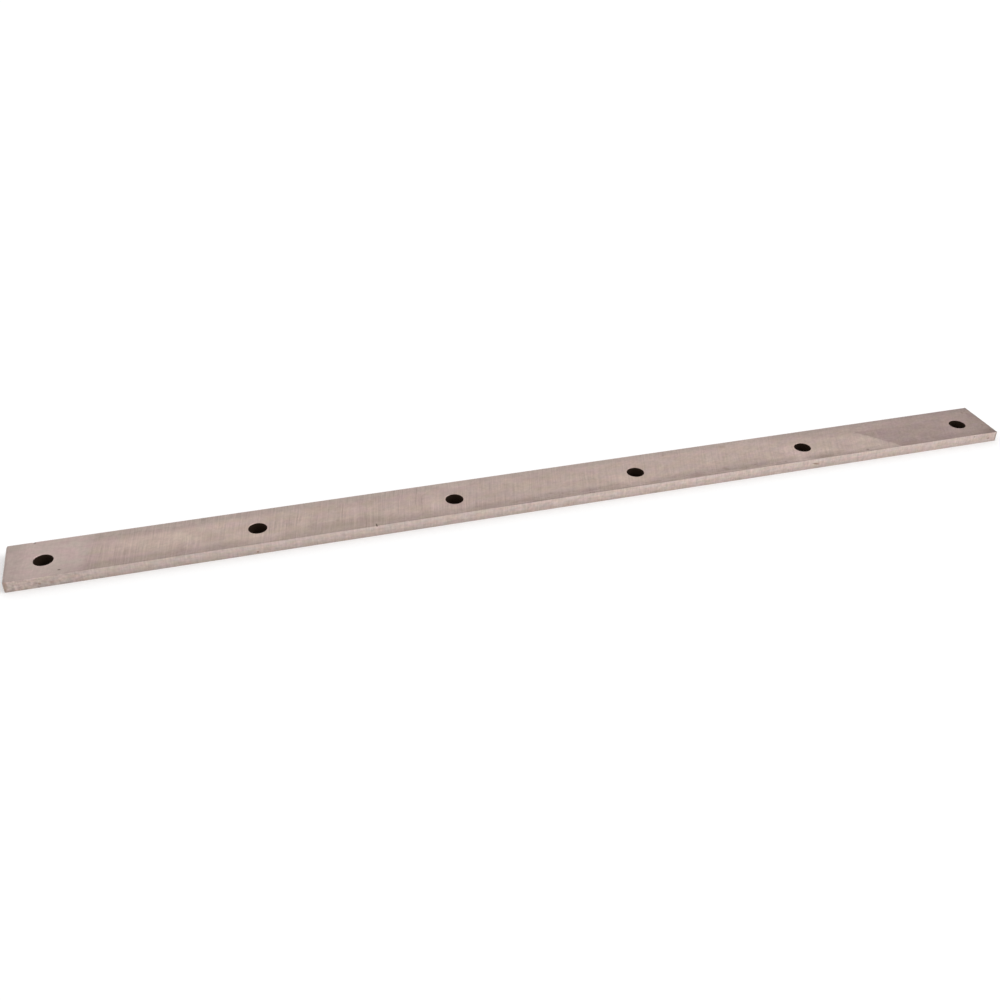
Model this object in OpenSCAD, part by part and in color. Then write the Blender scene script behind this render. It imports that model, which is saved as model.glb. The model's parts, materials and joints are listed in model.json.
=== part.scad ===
// Shear blade: a flat bar of ground tool steel with one row of through holes for its screws.
// X runs along the blade, Y across it from the front edge to the back edge, and Z up through
// its thickness. The underside lies on Z = 0, with the middle of the bar over the origin.

/* [Bar] */
// Length from end to end
blade_length = 535; // [300:5:1000]
// Width from the front cutting edge to the back cutting edge
blade_width = 30; // [24:0.5:60]
// Thickness between the two ground faces
blade_thickness = 5.8; // [4:0.1:12]
// Break on the edges of both end faces; the four long cutting edges stay sharp
end_break = 0.6; // [0.1:0.1:1.5]

/* [Screw holes] */
// Number of holes in the row
hole_count = 6; // [2:1:8]
// Diameter of each hole
hole_diameter = 9; // [5:0.5:11]
// Distance from each end face to the middle of the nearest hole
end_distance = 17.5; // [12:0.5:40]
// Distance from the front edge to the middle of the row
row_distance = 13.7; // [9:0.1:15]
// Deburring chamfer at both mouths of each hole
mouth_chamfer = 0.3; // [0.1:0.1:0.8]

/* [Hidden] */
$fn = 96;
steel_color = [0.69, 0.62, 0.59];
// Cutters run this far past the face that they cut
overcut = 1;
hole_radius = hole_diameter / 2;
first_hole_x = end_distance - blade_length / 2;
row_y = row_distance - blade_width / 2;
// The holes share out evenly the length that lies between the first and the last
hole_pitch = (blade_length - 2 * end_distance) / (hole_count - 1);

// Rectangle round the origin, with its four corners cut off at 45 degrees
module broken_rectangle(size_x, size_y, corner) {
  x = size_x / 2;
  y = size_y / 2;
  polygon([
    [x, y - corner], [x - corner, y],
    [corner - x, y], [-x, y - corner],
    [-x, corner - y], [corner - x, -y],
    [x - corner, -y], [x, corner - y]
  ]);
}

// The ground bar: its plan outline met by its side outline, so that only the ends are broken
module bar() {
  intersection() {
    linear_extrude(blade_thickness)
      broken_rectangle(blade_length, blade_width, end_break);
    translate([0, 0, blade_thickness / 2])
      rotate([90, 0, 0])
        linear_extrude(blade_width, center = true)
          broken_rectangle(blade_length, blade_thickness, end_break);
  }
}

// Cone that chamfers the mouth of a hole in a face at Z = 0, with the steel above it
module mouth_cone() {
  translate([0, 0, -overcut])
    cylinder(
      h = mouth_chamfer + overcut,
      r1 = hole_radius + mouth_chamfer + overcut,
      r2 = hole_radius
    );
}

// One through hole on the Z axis, chamfered at both faces
module screw_hole() {
  translate([0, 0, -overcut])
    cylinder(h = blade_thickness + 2 * overcut, r = hole_radius);
  mouth_cone();
  translate([0, 0, blade_thickness])
    mirror([0, 0, 1])
      mouth_cone();
}

module blade() {
  color(steel_color)
    difference() {
      bar();
      for (i = [0 : hole_count - 1])
        translate([first_hole_x + i * hole_pitch, row_y, 0])
          screw_hole();
    }
}

blade();
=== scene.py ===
import json
import math

import bmesh
import bpy
from mathutils import Euler, Matrix, Vector


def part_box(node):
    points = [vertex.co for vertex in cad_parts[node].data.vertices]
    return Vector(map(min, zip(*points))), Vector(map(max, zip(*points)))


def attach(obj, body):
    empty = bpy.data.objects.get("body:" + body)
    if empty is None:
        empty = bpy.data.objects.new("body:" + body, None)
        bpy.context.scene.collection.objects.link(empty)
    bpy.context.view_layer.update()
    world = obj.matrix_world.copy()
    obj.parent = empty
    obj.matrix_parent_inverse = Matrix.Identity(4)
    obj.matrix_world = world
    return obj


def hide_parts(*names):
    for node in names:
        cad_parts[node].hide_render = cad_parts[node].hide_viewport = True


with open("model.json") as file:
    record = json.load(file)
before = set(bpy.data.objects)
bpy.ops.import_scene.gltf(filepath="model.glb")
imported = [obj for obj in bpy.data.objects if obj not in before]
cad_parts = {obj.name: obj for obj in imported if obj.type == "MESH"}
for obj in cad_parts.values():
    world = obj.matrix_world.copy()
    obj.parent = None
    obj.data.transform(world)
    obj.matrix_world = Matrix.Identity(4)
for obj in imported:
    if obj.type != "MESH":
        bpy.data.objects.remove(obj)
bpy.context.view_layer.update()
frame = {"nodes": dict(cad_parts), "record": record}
print("frame loaded:", ", ".join(frame["nodes"]))

mm = 0.001
scene = bpy.context.scene
scene.view_settings.view_transform = "Standard"


# A Wire is one socket of a node tree. Arithmetic on it adds Math nodes.
class Wire:
    def __init__(self, tree, socket=None):
        self.tree = tree
        self.socket = socket

    def node(self, kind, settings=None, inputs=None, out=0):
        made = self.tree.nodes.new(kind)
        for name, value in (settings or {}).items():
            setattr(made, name, value)
        for name, value in (inputs or {}).items():
            socket = made.inputs[name]
            if isinstance(value, Wire):
                self.tree.links.new(value.socket, socket)
            else:
                socket.default_value = (*value, 1) if socket.type == "RGBA" else value
        return Wire(self.tree, made.outputs[out] if made.outputs else None)

    # another output of the same node
    def other(self, out):
        return Wire(self.tree, self.socket.node.outputs[out])

    def math(self, operation, *values):
        return self.node("ShaderNodeMath", {"operation": operation}, dict(enumerate(values)))

    def __add__(self, other):
        return self.math("ADD", self, other)

    def __sub__(self, other):
        return self.math("SUBTRACT", self, other)

    def __rsub__(self, other):
        return self.math("SUBTRACT", other, self)

    def __mul__(self, other):
        return self.math("MULTIPLY", self, other)

    def __truediv__(self, other):
        return self.math("DIVIDE", self, other)

    def __rtruediv__(self, other):
        return self.math("DIVIDE", other, self)

    __radd__ = __add__
    __rmul__ = __mul__

    def absolute(self):
        return self.math("ABSOLUTE", self)

    def root(self):
        return self.math("SQRT", self)

    # a soft step from 0 at low to 1 at high; with low above high it falls
    def step(self, low, high):
        ends = {"Value": self, "From Min": low, "From Max": high}
        return self.node("ShaderNodeMapRange", {"interpolation_type": "SMOOTHSTEP"}, ends)

    # a mix of two colours, with this wire as its factor; a Mix node has colours at 6, 7 and out at 2
    def blend(self, first, second, way="MIX"):
        colours = {"Factor": self, 6: first, 7: second}
        return self.node("ShaderNodeMix", {"data_type": "RGBA", "blend_type": way}, colours, out=2)


def newMaterial(name):
    material = bpy.data.materials.new(name)
    material.use_nodes = True
    material.node_tree.nodes.clear()
    return material, Wire(material.node_tree)


def addObject(name, data):
    thing = bpy.data.objects.new(name, data)
    scene.collection.objects.link(thing)
    return thing


# Blade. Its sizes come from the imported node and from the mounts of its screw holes.
blade = {
    "holeSegments": 96,          # a multiple of 4, so that neighbouring cells share border points
    "edgeWear": 0.12 * mm,       # rounding worn on the four long edges
    "wearSegments": 2,
    "edgeStrip": 0.9 * mm,       # points this far in from a long edge keep its nicks local
    "nickCuts": (-1, -0.5, 0, 0.5, 1),   # where a nick gets points, in halves of its length
    "sharpAngle": math.radians(20),
    "facing": 0.8,               # a face looks along an axis from this share of its normal
    "wallBelow": 0.5,            # a face is a wall below this upward share of its normal
    "slack": 0.01 * mm,          # points as near as this count as touching
    "cutSlack": 0.0001 * mm,     # the same, for points beside a cut
    "sheetGap": 1 * mm,          # between the faces when they are laid flat for baking
    "holesInLength": 2,          # holes in each length of the bar on that sheet
    # nicks in the long edges of the upper face, in millimetres from the left end
    "nicks": [
        {"at": 12.4, "side": 1, "half": 0.7, "depth": 0.20},
        {"at": 174.5, "side": -1, "half": 0.5, "depth": 0.30},
        {"at": 191.0, "side": -1, "half": 0.5, "depth": 0.18},
    ],
}
low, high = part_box("blade")
thickness = high.z - low.z
bores = [m for m in frame["record"]["mounts"] if m["kind"] == "bore"]
holes = sorted(bores, key=lambda m: m["pos_m"][0])
holeCentres = [Vector((m["pos_m"][0], m["pos_m"][1], high.z)) for m in holes]
holeRadius = holes[0]["dims"]["r_mm"] * mm
mouthChamfer = (thickness - holes[0]["dims"]["length_mm"] * mm) / 2
topPoints = [v.co for v in frame["nodes"]["blade"].data.vertices if v.co.z > high.z - blade["slack"]]
endBreak = high.x - max(p.x for p in topPoints)


def holeCell(bm, centre, left, right):
    # one hole's rim, and a ring of faces from it out to the border of its share of the bar
    rim = bmesh.ops.create_circle(
        bm, segments=blade["holeSegments"], radius=holeRadius, matrix=Matrix.Translation(centre)
    )["verts"]
    rimEdges = dict.fromkeys(e for v in rim for e in v.link_edges)     # each once, in a fixed order
    grown = bmesh.ops.extrude_edge_only(bm, edges=list(rimEdges))["geom"]
    border = [v for v in grown if isinstance(v, bmesh.types.BMVert)]
    nearZero = 1e-9
    for v in border:
        ray = v.co - centre
        toEnd = ((right if ray.x > 0 else left) - centre.x) / (ray.x or nearZero)
        toSide = ((high.y if ray.y > 0 else low.y) - centre.y) / (ray.y or nearZero)
        v.co = centre + ray * min(abs(toEnd), abs(toSide))
    for corner in ((x, y, centre.z) for x in (left, right) for y in (low.y, high.y)):
        nearest = min(border, key=lambda v: (v.co - Vector(corner)).length)
        nearest.co = corner


def slicePlane(bm, point, normal, keepOuter=True):
    cut = bmesh.ops.bisect_plane(
        bm, geom=bm.verts[:] + bm.edges[:] + bm.faces[:], dist=blade["cutSlack"],
        plane_co=point, plane_no=normal, clear_outer=not keepOuter,
    )["geom_cut"]
    if not keepOuter:
        bmesh.ops.edgeloop_fill(bm, edges=[e for e in cut if isinstance(e, bmesh.types.BMEdge)])


def breakEnds(bm):
    for end in (-1, 1):
        for side in ((0, 1, 0), (0, -1, 0), (0, 0, 1), (0, 0, -1)):
            normal = Vector((end, 0, 0)) + Vector(side)
            corner = Vector(b if n > 0 else a for a, b, n in zip(low, high, normal))
            slicePlane(bm, corner - Vector((end * endBreak, 0, 0)), normal, keepOuter=False)


def nickEdges(bm):
    strip = blade["edgeStrip"]
    for y in (low.y + strip, high.y - strip):
        slicePlane(bm, (0, y, 0), (0, 1, 0))
    for z in (low.z + strip, high.z - strip):
        slicePlane(bm, (0, 0, z), (0, 0, 1))
    for nick in blade["nicks"]:
        nickX = low.x + nick["at"] * mm
        half = nick["half"] * mm
        for cut in blade["nickCuts"]:
            slicePlane(bm, (nickX + cut * half, 0, 0), (1, 0, 0))
        edge = Vector((high.y if nick["side"] > 0 else low.y, high.z))
        inward = Vector((0, -nick["side"], -1)).normalized()
        for v in bm.verts:
            away = abs(v.co.x - nickX) / half
            if away < 1 and (v.co.yz - edge).length < blade["slack"]:
                v.co += inward * nick["depth"] * mm * (1 - away * away)


def onLongEdge(edge):
    # a long edge lies between a broad face and a narrow one, out at the side
    normals = [f.normal for f in edge.link_faces]
    broad = any(abs(n.z) > blade["facing"] for n in normals)
    narrow = any(abs(n.y) > blade["facing"] for n in normals)
    return broad and narrow and abs(edge.verts[0].co.y) > high.y - blade["edgeStrip"]


def onRim(edge):
    # a hole's rim lies between the flat of a broad face and the upright wall
    upright = [f for f in edge.link_faces if abs(f.normal.z) < blade["wallBelow"]]
    offRim = [min(abs((v.co.xy - c.xy).length - holeRadius) for c in holeCentres) for v in edge.verts]
    return len(upright) == 1 and max(offRim) < blade["slack"]


def bevelEdges(bm, edges, offset, segments):
    bmesh.ops.bevel(
        bm, geom=edges, offset=offset, offset_type="OFFSET", affect="EDGES",
        segments=segments, profile=0.5, material=-1, clamp_overlap=False,
    )


def layFlat(bm):
    # places for the baked finish: the bar in lengths of two holes, each with its faces in rows
    layer = bm.loops.layers.uv.new("OFBake")
    gap = blade["sheetGap"]
    perLength = blade["holesInLength"]
    broad = high.y - low.y + gap
    thin = thickness + gap
    lengthTall = 2 * broad + 3 * thin
    unrolled = 2 * math.pi * holeRadius + gap
    pitch = holeCentres[1].x - holeCentres[0].x
    sheet = Vector((perLength * pitch + gap, len(holeCentres) / perLength * lengthTall + gap))
    for face in bm.faces:
        middle = face.calc_center_median()
        index = min(range(len(holeCentres)), key=lambda i: abs(middle.x - holeCentres[i].x))
        length, place = divmod(index, perLength)
        fromHole = middle - holeCentres[index]
        faceTurn = math.atan2(fromHole.y, fromHole.x)
        inHole = fromHole.xy.length < holeRadius and abs(face.normal.z) < blade["wallBelow"]
        for loop in face.loops:
            y, z = (loop.vert.co - low).yz
            spot = loop.vert.co - holeCentres[index]
            flat = Vector((spot.x + pitch * (place + 0.5), length * lengthTall))
            if inHole:
                turn = faceTurn + math.remainder(math.atan2(spot.y, spot.x) - faceTurn, 2 * math.pi)
                flat.x = (turn + math.pi) * holeRadius + place * unrolled
                flat.y += 2 * broad + 2 * thin + z
            elif abs(face.normal.x) > blade["facing"]:
                flat.x = perLength * unrolled + y
                flat.y += 2 * broad + 2 * thin + z
            elif abs(face.normal.z) > blade["wallBelow"]:
                flat.y += y + (broad if face.normal.z < 0 else 0)
            else:
                flat.y += 2 * broad + z + (thin if face.normal.y > 0 else 0)
            loop[layer].uv = ((flat.x + gap / 2) / sheet.x, (flat.y + gap / 2) / sheet.y)


def makeBlade():
    bm = bmesh.new()
    shares = [(a.x + b.x) / 2 for a, b in zip(holeCentres, holeCentres[1:])]
    for centre, left, right in zip(holeCentres, [low.x, *shares], [*shares, high.x]):
        holeCell(bm, centre, left, right)
    bmesh.ops.remove_doubles(bm, verts=bm.verts[:], dist=blade["slack"])
    lower = bmesh.ops.extrude_face_region(bm, geom=bm.faces[:])["geom"]
    lower = [v for v in lower if isinstance(v, bmesh.types.BMVert)]
    bmesh.ops.translate(bm, verts=lower, vec=(0, 0, -thickness))
    bmesh.ops.recalc_face_normals(bm, faces=bm.faces[:])
    breakEnds(bm)
    nickEdges(bm)
    bevelEdges(bm, [e for e in bm.edges if onRim(e)], mouthChamfer, 1)
    bevelEdges(bm, [e for e in bm.edges if onLongEdge(e)], blade["edgeWear"], blade["wearSegments"])
    bmesh.ops.recalc_face_normals(bm, faces=bm.faces[:])
    layFlat(bm)

    mesh = bpy.data.meshes.new("ground_blade")
    bm.to_mesh(mesh)
    bm.free()
    mesh.polygons.foreach_set("use_smooth", [True] * len(mesh.polygons))
    mesh.set_sharp_from_angle(angle=blade["sharpAngle"])
    piece = addObject("ground_blade", mesh)
    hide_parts("blade")
    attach(piece, "root")
    print("blade modelled:", len(mesh.polygons), "faces")
    return piece


bladePiece = makeBlade()


# Ground steel. Places on it are in millimetres: along from the left end, across from the front edge,
# up from the underside. A pair of places says where a change starts and where it is whole.
steel = {
    "face": (0.508, 0.397, 0.337),
    "pink": (0.509, 0.391, 0.362),             # the hue that the face drifts to
    "straw": (0.575, 0.457, 0.388),            # paler places on the face
    "smoothEnd": (0.523, 0.421, 0.381),        # where the grinding lines fade out
    "smoothPink": (0.529, 0.405, 0.379),
    "paintedShadeRight": (0.765, 0.744, 0.765),          # painted shade: the colour is multiplied by it at the darker, rougher right end
    "narrow": (0.611, 0.501, 0.434),           # lighter than the upper face, on the two long narrow faces
    "narrowGrey": (0.611, 0.501, 0.476),
    "brown": (0.280, 0.190, 0.145),            # stains
    "scale": (0.0275, 0.0157, 0.0100),         # dark scale in the holes
    "scaleEdge": (0.2, 0.1),                   # out from a hole's wall
    "scaleRoughness": 0.75,
    "scaleGloss": 0.1,                         # the bare steel is metal and doesn't use it
    "roughness": 0.42,
    "roughnessMore": {"blotch": 0.02, "right": 0.06, "left": -0.03, "rim": 0.1},
    "bump": {"strength": 0.25, "height": 0.01 * mm},
    "upperFace": (0.5, 0.1),                   # down from the top
    "narrowFaces": (0.14, 0.06),               # in from the long edges
    "frontFace": (1.0, 0.5),                   # in from the front edge
    # the grinding lines cross the bar and lean more and more towards the right end
    "lean": {"middle": 0.29, "change": 0.0008},
    # patterns: the size of a patch along, across and up, a shift that tells the pattern apart, how deep it
    # shows, and the share of it that is lost at either end
    "lines": {"size": (0.75, 24, 6), "detail": 3, "depth": 0.155, "lostLeft": 0.7, "lostRight": 0.3},
    "linesFade": {"between": (170, 400), "from": 1, "to": 0.58},
    "linePatches": {"size": (18, 8, 8), "shift": 8.8, "depth": 0.5, "middle": 0.85},
    "wave": {"size": (14, 10, 10), "shift": 2.2, "depth": 0.25},
    "scores": {"size": (2.4, 30, 8), "shift": 7.2, "depth": 0.32},     # broader lines among the fine ones
    "mottle": {"size": (1.8, 1.6, 1.5), "detail": 3, "shift": 4.7, "depth": 0.072},
    "blotch": {"size": (9, 5, 5), "detail": 3, "shift": 1.3, "depth": 0.06},
    "mottleMore": {"between": (200, 400), "from": 1, "to": 1.35},
    "slow": {"size": (60, 25, 25), "shift": 5.9, "depth": 0.03},
    "faceHue": {"size": (7, 5, 4), "detail": 3, "shift": 6.1, "low": -0.8, "high": 0.8},
    # thin dark lines, far apart, in the left half of the bar
    "thinLines": {
        "size": (1.1, 22, 9), "detail": 0, "shift": 1.9, "low": 0.9, "high": 1.5,
        "depth": 0.18, "left": (60, 110), "right": (240, 200),
    },
    # what the colour is multiplied by as it drifts between two casts
    "faceCast": {
        "size": (6, 5, 4), "detail": 3, "shift": 5.2, "low": -0.8, "high": 0.8,
        "green": (0.990, 1.018, 1.0), "rose": (1.010, 0.982, 1.0),
    },
    "narrowCast": {
        "size": (5, 4, 2), "detail": 3, "shift": 1.7, "low": -0.8, "high": 0.8,
        "green": (0.966, 1.019, 1.0), "rose": (1.034, 0.981, 1.0),
    },
    # the narrow faces have streaks along the bar, painted light makes them lighter to the right, and
    # painted shade makes them darker towards the lower edge
    "narrowHue": {"size": (8, 4, 2), "detail": 3, "shift": 9.4, "low": -0.7, "high": 0.7},
    "narrowStreaks": {"size": (8, 3, 1.1), "detail": 3, "shift": 3.3, "depth": 0.088},
    "narrowLines": 0.100,
    "narrowMottle": {"between": (60, 5), "from": 0.100, "to": 0.280},
    "narrowContrast": {"between": (150, 250), "from": 1, "to": 1.15},
    # painted light: the narrow faces lighter to the right
    "narrowPaintedLight": {"between": (0, 380), "from": 0.86, "to": 1},
    # painted shade: the narrow faces darker towards the lower edge
    "narrowPaintedShade": {"between": (400, 530), "from": 0.16, "to": 0.11, "up": (5, 0)},
    "rim": {"out": (1.2, 0.4), "pale": 0.06},                          # bright rims of the holes
    "endDarkening": {"left": 1.6, "right": 2.2, "full": 0.3, "dark": 0.20},
    # darker bands along the long edges of the upper face, with brown specks and streaks in the front one
    "frontBand": {
        "across": (7.6, 3.2), "along": (0, 46), "dark": 0.17, "lostRight": 0.5,
        "wobble": {"size": (16, 10, 10), "shift": 3.1, "depth": 1.3},
        "edge": (1.8, 0.4), "edgeMore": 0.3,
    },
    "bandStreaks": {"size": (14, 1.0, 3), "shift": 6.6, "depth": 0.13, "along": (180, 260)},
    "specks": {"size": (2.2, 1.6, 1.5), "shift": 2.9, "low": 0.3, "high": 1.3, "depth": 0.75},
    "specksMore": {"between": (100, 380), "from": 0.3, "to": 1},
    "backBand": {
        "colour": (0.461, 0.367, 0.328), "left": 5.6, "right": 3.0, "soft": 1.6, "lostLeft": 0.8,
        "wobble": {"size": (18, 12, 10), "shift": 7.7, "depth": 0.9},
    },
    # the left end is smoother, and the right end rougher and darkened with painted shade, each up to a
    # slanting line
    "leftLine": {
        "atFront": 34.4, "slope": 0.27, "soft": 2.4,
        "wobble": {"size": (6, 6, 6), "depth": 0.8},
    },
    "rightLine": {
        "atFront": 473.6, "slope": -0.88, "soft": (-1.5, 0.9), "across": (24.5, 19.5),
        "wobble": {"size": (8, 6, 6), "depth": 0.8},
    },
    "rightBack": {"across": (18, 21), "along": (395, 520)},            # the rougher end with painted shade, beside the back edge
    # how far noise pushes the stains and pale places about, and how ragged it makes them
    "warp": {"along": 1.5, "across": 0.5},
    "ragged": {"stains": 0.35, "straw": 0.3, "middle": 0.8},
    "stains": [
        {"at": (94.5, 11.5), "half": (4.5, 6), "strength": 0.20},
        {"at": (52, 8), "half": (17, 6), "strength": 0.14},
        {"at": (162, 7.5), "half": (22, 4), "strength": 0.14},
        {"at": (234, 2.6), "half": (9, 2.4), "strength": 0.12},
        {"at": (256, 3), "half": (6, 2.2), "strength": 0.16},
        {"at": (287, 3.5), "half": (3, 3), "strength": 0.18},
        {"at": (323, 2), "half": (6, 1.6), "strength": 0.28},
        {"at": (338.3, 26), "half": (1.6, 1.4), "strength": 0.25},
        {"at": (349, 2.6), "half": (6, 3), "strength": 0.36},
        {"at": (366, 4), "half": (1.6, 2.2), "strength": 0.42},
        {"at": (374, 26), "half": (3, 2), "strength": 0.40},
        {"at": (376, 2), "half": (4, 1.8), "strength": 0.25},
        {"at": (424, 1.6), "half": (9, 2.2), "strength": 0.38},
        {"at": (444, 1.2), "half": (9, 1.4), "strength": 0.22},
        {"at": (451.3, 2), "half": (1.6, 1.3), "strength": 0.45},
        {"at": (479, 2.2), "half": (8, 2.4), "strength": 0.21},
        {"at": (498, 3.5), "half": (4, 2.6), "strength": 0.18},
        {"at": (531, 2.5), "half": (5, 4), "strength": 0.31},
        {"at": (530, 25.5), "half": (3.6, 3.4), "strength": 0.16},
        {"at": (531.5, 21), "half": (2.2, 3), "strength": 0.25},
    ],
    "strawSpots": [
        {"at": (76, 16.5), "half": (34, 9), "strength": 0.9},
        {"at": (112, 9), "half": (10, 10), "strength": 0.4},
        {"at": (163, 17), "half": (26, 9), "strength": 0.15},
        {"at": (188, 11), "half": (16, 10), "strength": 0.3},
        {"at": (455, 10), "half": (14, 9), "strength": 0.3},
    ],
    # paler places, and darker ones with a negative strength
    "paleSpots": [
        {"at": (0, 15), "half": (12, 40), "strength": -0.12},
        {"at": (4, 0), "half": (8, 4.5), "strength": -0.08},
        {"at": (39, 15), "half": (6, 26), "strength": -0.07},
        {"at": (60, 24.2), "half": (30, 3.2), "strength": -0.09},
        {"at": (106, 22), "half": (20, 5), "strength": 0.07},
        {"at": (120, 4), "half": (11, 5), "strength": 0.15},
        {"at": (158, 7.5), "half": (38, 4), "strength": -0.09},
        {"at": (168, 23), "half": (40, 4), "strength": -0.05},
        {"at": (206, 12), "half": (8, 6), "strength": 0.09},
        {"at": (214, 4), "half": (14, 4.5), "strength": 0.08},
        {"at": (222, 27.5), "half": (14, 4), "strength": 0.08},
        {"at": (275, 23), "half": (28, 5), "strength": -0.06},
        {"at": (309, 10), "half": (11, 9), "strength": 0.12},
        {"at": (316, 4), "half": (10, 4), "strength": 0.12},
        {"at": (374, 6), "half": (26, 6), "strength": -0.11},
        {"at": (412, 3.5), "half": (7, 3.5), "strength": 0.14},
        {"at": (411, 12), "half": (9, 8), "strength": 0.14},
        {"at": (425, 7), "half": (12, 5), "strength": 0.11},
        {"at": (422, 27), "half": (30, 6.5), "strength": -0.10},
        {"at": (454, 3.5), "half": (24, 4), "strength": 0.12},
        {"at": (482, 28), "half": (26, 5), "strength": 0.04},
        {"at": (486, 6.5), "half": (3, 3), "strength": 0.12},
        {"at": (512, 12), "half": (7, 7), "strength": 0.07},
        {"at": (527, 0.5), "half": (11, 2.6), "strength": -0.11},
        {"at": (535, 15), "half": (14, 40), "strength": -0.09},
        {"at": (529, 26), "half": (7, 5), "strength": 0.07},
    ],
    "pits": [
        {"at": (13.0, 29.2), "half": (0.8, 0.9), "strength": 0.55},
        {"at": (24.9, 3.8), "half": (1.0, 0.6), "strength": 0.70},
        {"at": (174.5, 0.9), "half": (0.45, 1.8), "strength": 0.75},
        {"at": (451.6, 1.9), "half": (0.8, 0.7), "strength": 0.40},
        {"at": (528.8, 25.2), "half": (0.8, 1.2), "strength": 0.24},
        {"at": (531.3, 26.4), "half": (1.3, 0.7), "tilt": 0.5, "strength": 0.20},
        {"at": (530.9, 23.6), "half": (0.7, 0.6), "strength": 0.22},
        {"at": (532.2, 3.2), "half": (0.8, 0.8), "strength": 0.22},
    ],
    # single deep lines, placed where they cross the middle of the bar, with both ends fading out
    "deepLineFade": 4,
    "deepLines": [
        {"at": 159.6, "half": 0.24, "low": 9, "high": 27, "strength": 0.34},
        {"at": 188.6, "half": 0.22, "low": 6, "high": 26, "strength": 0.30},
        {"at": 200.6, "half": 0.26, "low": 5, "high": 22, "strength": 0.34},
    ],
    # marks on the front narrow face, with up in place of across
    "frontMarks": [
        {"at": (0.8, 4), "half": (1.7, 4), "strength": 0.55},
        {"at": (17, 4.8), "half": (27, 3.4), "strength": 0.16},
        {"at": (15.8, 2.2), "half": (0.9, 0.8), "strength": 0.65},
        {"at": (21, 1.8), "half": (1.4, 1.2), "strength": 0.30},
        {"at": (115.7, 1.3), "half": (0.8, 0.6), "strength": 0.95},
        {"at": (418.8, 2.9), "half": (2.8, 0.6), "tilt": -0.25, "strength": 0.85},
        {"at": (519.7, 4.8), "half": (0.8, 0.6), "strength": 0.55},
        {"at": (528, 4.8), "half": (7, 3.4), "strength": 0.20},
        {"at": (529.4, 2.4), "half": (1.1, 0.7), "strength": 0.70},
        {"at": (534.6, 3.5), "half": (1.6, 4), "strength": 0.40},
    ],
}
bladeLength = (high.x - low.x) / mm
bladeWidth = (high.y - low.y) / mm
bladeThick = thickness / mm


def bladePlace(start):
    point = start.node("ShaderNodeTexCoord", out="Object")
    split = point.node("ShaderNodeSeparateXYZ", None, {0: point})
    x = split / mm
    y = split.other("Y") / mm
    lean = x - (steel["lean"]["middle"] + steel["lean"]["change"] * x) * y
    return {
        "x": x,
        "y": y,
        "along": x - low.x / mm,
        "across": y - low.y / mm,
        "up": (split.other("Z") - low.z) / mm,
        "lean": lean - low.x / mm,
    }


def clouds(at, pattern):
    # noise, mostly between -1 and 1
    size = pattern["size"]
    vector = at["lean"].node("ShaderNodeCombineXYZ", None, {
        0: at["lean"] / size[0] + pattern.get("shift", 0),
        1: at["across"] / size[1],
        2: at["up"] / size[2],
    })
    noise = vector.node("ShaderNodeTexNoise", None, {
        "Vector": vector, "Scale": 1, "Detail": pattern.get("detail", 2),
    })
    return (noise - 0.5) * 4


def weighed(at, pattern):
    return clouds(at, pattern) * pattern["depth"]


def patches(at, pattern):
    # 0 to 1, between the pattern's low and its high
    return clouds(at, pattern).step(pattern["low"], pattern["high"])


def changed(value, change):
    # goes from one amount to another as the value passes between two places
    return value.step(*change["between"]) * (change["to"] - change["from"]) + change["from"]


def marks(at, spots, second="across"):
    # soft ovals, some of them tilted, added up
    total = 0
    for spot in spots:
        dx = at["along"] - spot["at"][0]
        dy = at[second] - spot["at"][1]
        if "tilt" in spot:
            dy = dy - dx * spot["tilt"]
        dx = dx / spot["half"][0]
        dy = dy / spot["half"][1]
        total = (dx * dx + dy * dy).step(1, 0) * spot["strength"] + total
    return total


def deepLines(at):
    fade = steel["deepLineFade"]
    total = 0
    for line in steel["deepLines"]:
        away = (at["lean"] - line["at"]).absolute()
        begun = at["across"].step(line["low"], line["low"] + fade)
        ended = at["across"].step(line["high"], line["high"] - fade)
        total = away.step(line["half"], 0) * begun * ended * line["strength"] + total
    return total


def thinLines(at):
    thin = steel["thinLines"]
    zone = at["along"].step(*thin["left"]) * at["along"].step(*thin["right"])
    return patches(at, thin) * zone * thin["depth"]


def frontBandMask(at):
    band = steel["frontBand"]
    wavy = at["across"] + weighed(at, band["wobble"])
    edge = at["across"].step(*band["edge"]) * band["edgeMore"]
    return (wavy.step(*band["across"]) + edge) * at["along"].step(*band["along"])


def speckMask(at):
    # more of them to the right
    specks = steel["specks"]
    return patches(at, specks) * changed(at["along"], steel["specksMore"]) * specks["depth"]


def backBandMask(at):
    band = steel["backBand"]
    width = at["along"] * ((band["right"] - band["left"]) / bladeLength) + band["left"]
    past = bladeWidth - at["across"] + weighed(at, band["wobble"]) - width
    return past.step(band["soft"], -band["soft"])


def pastLine(at, line, wobble):
    return at["along"] - (at["across"] * line["slope"] + line["atFront"]) + wobble


def leftMask(at):
    line = steel["leftLine"]
    past = pastLine(at, line, weighed(at, line["wobble"]))
    return past.step(line["soft"], -line["soft"])


def rightMask(at):
    line = steel["rightLine"]
    back = steel["rightBack"]
    wobble = weighed(at, line["wobble"])
    slanting = pastLine(at, line, wobble).step(*line["soft"]) * at["across"].step(*line["across"])
    atBack = (at["across"] + wobble).step(*back["across"]) * at["along"].step(*back["along"])
    return atBack.math("MAXIMUM", atBack, slanting)


def holeMasks(at):
    # the holes repeat at one pitch, so a wrapped x finds the nearest; walls first, then walls and rims
    pitch = (holeCentres[1].x - holeCentres[0].x) / mm
    firstX = holeCentres[0].x / mm
    fromHole = at["x"].math("WRAP", at["x"] - firstX, -pitch / 2, pitch / 2)
    fromRow = at["y"] - holeCentres[0].y / mm
    radius = (fromHole * fromHole + fromRow * fromRow).root() - holeRadius / mm
    return radius.step(*steel["scaleEdge"]), radius.step(*steel["rim"]["out"])


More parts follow.
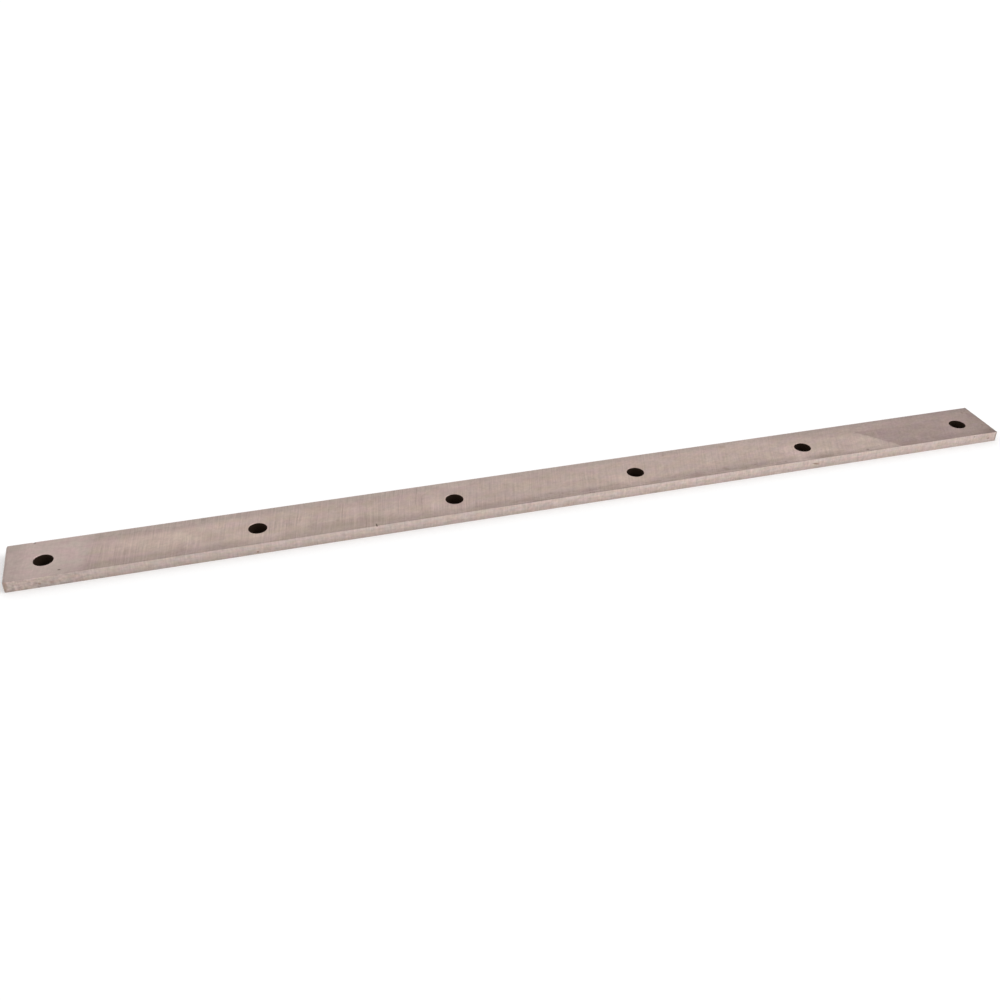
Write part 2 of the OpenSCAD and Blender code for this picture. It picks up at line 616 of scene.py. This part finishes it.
def endDarkening(at):
    # darker towards the two end faces
    darkening = steel["endDarkening"]
    fromRight = bladeLength - at["along"]
    nearEnds = at["along"].step(darkening["left"], darkening["full"]) + fromRight.step(darkening["right"], darkening["full"])
    return nearEnds * darkening["dark"]


def tinted(colour, tone):
    return tone.node("ShaderNodeVectorMath", {"operation": "SCALE"}, {0: colour, "Scale": tone})


def drifted(at, colour, cast):
    both = patches(at, cast).blend(cast["green"], cast["rose"])
    return both.node("ShaderNodeVectorMath", {"operation": "MULTIPLY"}, {0: colour, 1: both})


def narrowColour(at, lines, mottle):
    along = at["along"]
    shade = steel["narrowPaintedShade"]
    fine = mottle * changed(along, steel["narrowMottle"]) + lines * steel["narrowLines"]
    fine = fine + weighed(at, steel["narrowStreaks"])
    tone = 1 + fine * changed(along, steel["narrowContrast"])
    # painted light, lighter to the right
    tone = tone * changed(along, steel["narrowPaintedLight"])
    # painted shade, darker towards the lower edge
    tone = tone * (1 - at["up"].step(*shade["up"]) * changed(along, shade))
    colour = patches(at, steel["narrowHue"]).blend(steel["narrow"], steel["narrowGrey"])
    colour = drifted(at, colour, steel["narrowCast"])
    spots = marks(at, steel["frontMarks"], "up") * at["across"].step(*steel["frontFace"])
    return spots.blend(tinted(colour, tone), steel["brown"])


def groundSteel():
    material, start = newMaterial("ground_steel")
    at = bladePlace(start)
    at["lean"] = at["lean"] + weighed(at, steel["wave"])
    along = at["along"]
    upper = (bladeThick - at["up"]).step(*steel["upperFace"])
    fromBack = bladeWidth - at["across"]
    narrow = at["across"].step(*steel["narrowFaces"]) + fromBack.step(*steel["narrowFaces"])
    wall, rim = holeMasks(at)
    left = leftMask(at) * upper
    right = rightMask(at) * upper
    lines = clouds(at, steel["lines"]) + weighed(at, steel["scores"])
    mottle = clouds(at, steel["mottle"])
    blotch = clouds(at, steel["blotch"])
    warped = dict(at)
    warped["along"] = along + blotch * steel["warp"]["along"]
    warped["across"] = at["across"] + mottle * steel["warp"]["across"]

    fine = mottle * steel["mottle"]["depth"] + blotch * steel["blotch"]["depth"]
    fine = fine * changed(along, steel["mottleMore"])
    band = frontBandMask(at) * (1 - right * steel["frontBand"]["lostRight"])
    streaks = steel["bandStreaks"]
    fine = fine + weighed(at, streaks) * band * along.step(*streaks["along"])
    patchy = weighed(at, steel["linePatches"]) + steel["linePatches"]["middle"]
    kept = (1 - left * steel["lines"]["lostLeft"]) * (1 - right * steel["lines"]["lostRight"])
    lineDepth = kept * patchy * changed(along, steel["linesFade"]) * steel["lines"]["depth"]
    tone = 1 + lines * lineDepth + fine + weighed(at, steel["slow"])
    tone = tone * (1 - thinLines(at))
    tone = tone * (1 - band * steel["frontBand"]["dark"]) * (1 + rim * steel["rim"]["pale"])
    tone = tone * (1 + marks(warped, steel["paleSpots"]) * upper) * (1 - deepLines(at) * upper)

    ragged = steel["ragged"]
    hue = patches(at, steel["faceHue"])
    colour = hue.blend(steel["face"], steel["pink"])
    straw = marks(warped, steel["strawSpots"]) * (blotch * ragged["straw"] + ragged["middle"]) * upper
    colour = straw.blend(colour, steel["straw"])
    colour = left.blend(colour, hue.blend(steel["smoothEnd"], steel["smoothPink"]))
    backBand = backBandMask(at) * (1 - left * steel["backBand"]["lostLeft"])
    colour = backBand.blend(colour, steel["backBand"]["colour"])
    colour = drifted(at, colour, steel["faceCast"])
    stained = marks(warped, steel["stains"]) * (mottle * ragged["stains"] + ragged["middle"]) * upper
    colour = (stained + speckMask(at) * band * upper).blend(colour, steel["brown"])
    # painted shade darkens the right end
    colour = right.blend(tinted(colour, tone), steel["paintedShadeRight"], "MULTIPLY")
    colour = (marks(at, steel["pits"]) * upper).blend(colour, steel["scale"])
    colour = narrow.blend(colour, narrowColour(at, lines, mottle))
    colour = tinted(colour, 1 - endDarkening(at))
    colour = wall.blend(colour, steel["scale"])

    more = steel["roughnessMore"]
    roughness = steel["roughness"] + blotch * more["blotch"] + right * more["right"]
    roughness = roughness + left * more["left"] + rim * more["rim"]
    bump = start.node("ShaderNodeBump", None, {
        "Strength": steel["bump"]["strength"], "Distance": steel["bump"]["height"], "Height": lines,
    })
    shader = start.node("ShaderNodeBsdfPrincipled", None, {
        "Base Color": colour,
        "Metallic": 1 - wall,
        "Roughness": wall * (steel["scaleRoughness"] - steel["roughness"]) + roughness,
        "Specular IOR Level": steel["scaleGloss"],
        "Normal": bump,
    })
    start.node("ShaderNodeOutputMaterial", None, {"Surface": shader})
    return material


bladePiece.data.materials.append(groundSteel())
print("steel finished")

# Camera, at the photograph's viewing angle
camera = {
    "place": (-0.16596, -0.47058, 0.32075),
    "turnDeg": (56.858, -0.628, -16.251),
    "lens": 40.34,
    "sensor": 36,
    "clip": (0.01, 50),
}
eye = bpy.data.cameras.new("camera")
eye.lens = camera["lens"]
eye.sensor_width = camera["sensor"]
eye.clip_start, eye.clip_end = camera["clip"]
eyeObject = addObject("camera", eye)
eyeObject.location = camera["place"]
eyeObject.rotation_euler = Euler(math.radians(a) for a in camera["turnDeg"])
scene.camera = eyeObject
print("camera placed")

# Studio: a white floor under a pale dome, and one weak soft sun from the right; under the blade the floor
# is painted dark as shade
studio = {
    "white": (1, 1, 1),
    "floorHalf": 8.0,
    "floorColour": (0.9, 0.9, 0.9),
    "paintedShadeUnder": (0.031, 0.020, 0.0135),    # painted shade under the blade, where only the holes show it
    "underEdge": 1 * mm,                     # how far inside the blade's outline that ends
    "floorLift": 0.10,                       # brings the open floor up to white where it is seen
    "horizon": 1.0,                          # brightness of the dome
    "overhead": 0.86,
    "sunFrom": (0.75, -0.25, 0.65),
    "sunStrength": 0.8,
    "sunWidth": math.radians(30),
}


def seenRays(start):
    # 1 for rays that show a surface: from the camera, mirrored or through glass
    path = start.node("ShaderNodeLightPath", out="Is Camera Ray")
    rays = path + path.other("Is Glossy Ray") + path.other("Is Transmission Ray")
    return rays.math("MINIMUM", rays, 1.0)


def openFloor(start):
    # 0 under the blade, 1 around it
    point = start.node("ShaderNodeTexCoord", out="Object")
    split = point.node("ShaderNodeSeparateXYZ", None, {0: point})
    pastEnd = split.absolute().step(high.x - studio["underEdge"], high.x)
    pastSide = split.other("Y").absolute().step(high.y - studio["underEdge"], high.y)
    return pastEnd.math("MAXIMUM", pastEnd, pastSide)


def makeFloor():
    bm = bmesh.new()
    bmesh.ops.create_grid(bm, x_segments=1, y_segments=1, size=studio["floorHalf"])
    mesh = bpy.data.meshes.new("floor")
    bm.to_mesh(mesh)
    bm.free()
    material, start = newMaterial("white_floor")
    around = openFloor(start)
    # painted shade: the floor is dark under the blade
    colour = around.blend(studio["paintedShadeUnder"], studio["floorColour"])
    matt = start.node("ShaderNodeBsdfDiffuse", None, {"Color": colour})
    strength = seenRays(start) * around * studio["floorLift"]
    lift = start.node("ShaderNodeEmission", None, {"Color": studio["white"], "Strength": strength})
    both = start.node("ShaderNodeAddShader", None, {0: matt, 1: lift})
    start.node("ShaderNodeOutputMaterial", None, {"Surface": both})
    mesh.materials.append(material)
    addObject("floor", mesh)


def makeDome():
    world = bpy.data.worlds.new("pale_dome")
    world.use_nodes = True
    world.node_tree.nodes.clear()
    start = Wire(world.node_tree)
    way = start.node("ShaderNodeTexCoord", out="Generated")
    height = way.node("ShaderNodeSeparateXYZ", None, {0: way}, out="Z")
    strength = height.step(0.0, 1.0) * (studio["overhead"] - studio["horizon"]) + studio["horizon"]
    back = start.node("ShaderNodeBackground", None, {"Color": studio["white"], "Strength": strength})
    start.node("ShaderNodeOutputWorld", None, {"Surface": back})
    scene.world = world


def makeSun():
    light = bpy.data.lights.new("sun", "SUN")
    light.energy = studio["sunStrength"]
    light.angle = studio["sunWidth"]
    holder = addObject("sun", light)
    holder.location = studio["sunFrom"]
    holder.rotation_euler = (-Vector(studio["sunFrom"])).to_track_quat("-Z", "Y").to_euler()


makeFloor()
makeDome()
makeSun()
print("studio lit")
